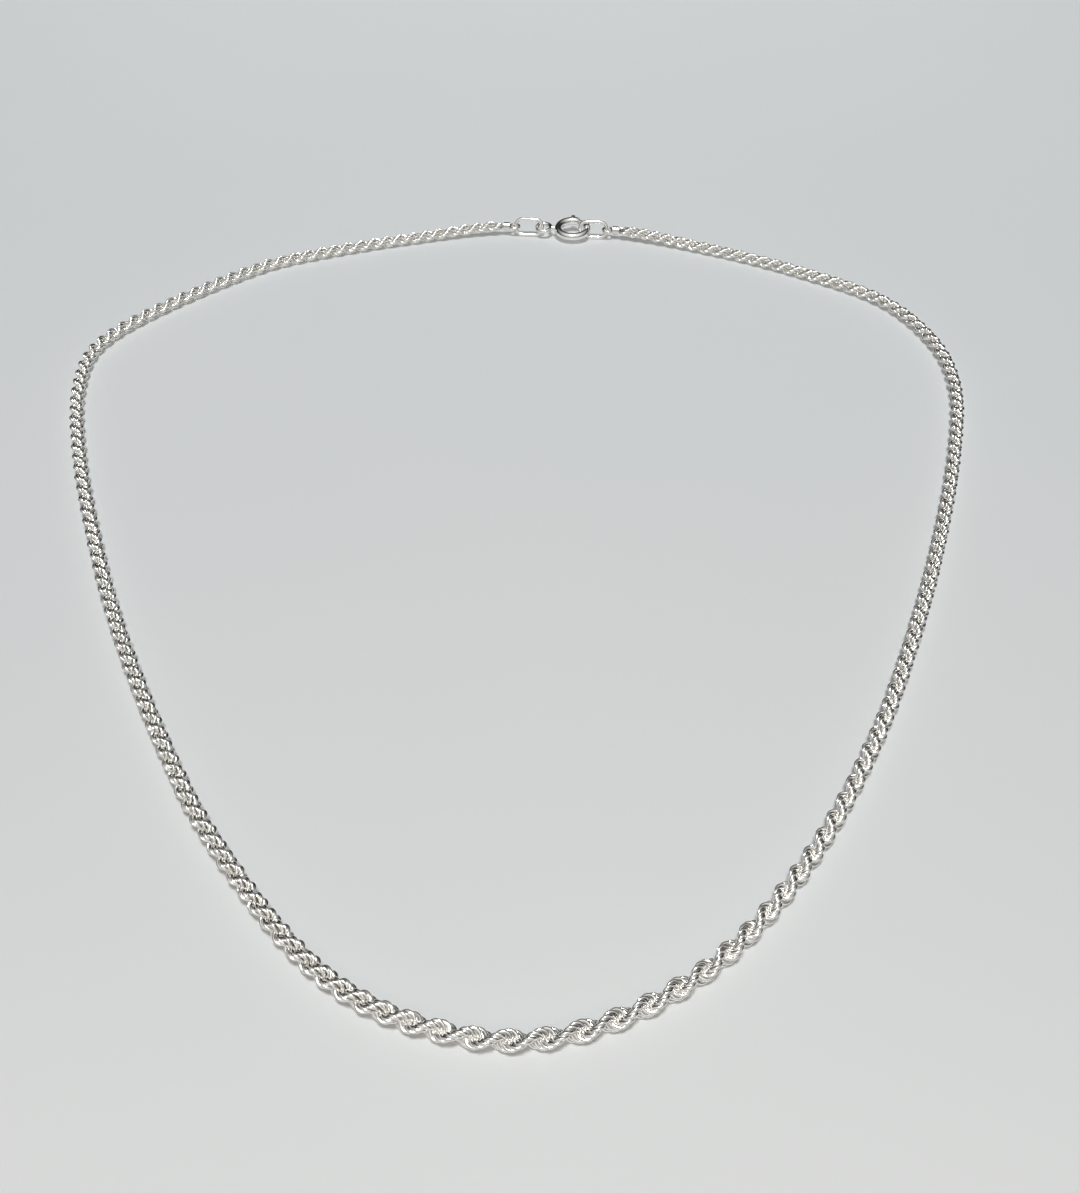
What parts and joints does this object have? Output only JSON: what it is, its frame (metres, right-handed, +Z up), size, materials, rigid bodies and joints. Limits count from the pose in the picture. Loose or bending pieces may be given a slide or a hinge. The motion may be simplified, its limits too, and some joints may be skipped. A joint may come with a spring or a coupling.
{
  "type": "rope chain necklace",
  "caption": "Slim twisted rope chain necklace of polished silver, laid in a pear-shaped open loop and closed by a spring ring clasp.",
  "frame": {"origin": "middle of the loop's outline, on the surface that the necklace lies on", "axes": "+X to the right, +Y from the front of the loop to the clasp at the nape, +Z up from the surface"},
  "size_m": [0.1392, 0.1631, 0.0031],
  "materials": {
    "rope": "bright polished silver with dark gaps between the links",
    "rope_ends": "polished silver with a softer solder skin",
    "jump_rings": "polished silver wire",
    "clasp": "polished silver tube with light wear",
    "clasp_pin": "polished silver with light wear"
  },
  "bodies": {
    "necklace": {"rope_chain_left": "rope", "rope_chain_right": "rope", "end_link_left": "rope_ends", "end_link_right": "rope_ends", "jump_ring_left": "jump_rings", "jump_ring_right": "jump_rings", "clasp_body": "clasp"},
    "trigger": {"clasp_pin": "clasp_pin"}
  },
  "joints": [
    {"name": "clasp_trigger", "type": "hinge", "parent": "necklace", "child": "trigger", "pos_m": [0.00995, 0.0776, 0.00154], "axis": [-0.0106, -0.1214, 0.9925], "range_deg": [0, 45], "stiffness_Nm_per_rad": 0.0015, "springref_deg": -22.92}
  ]
}
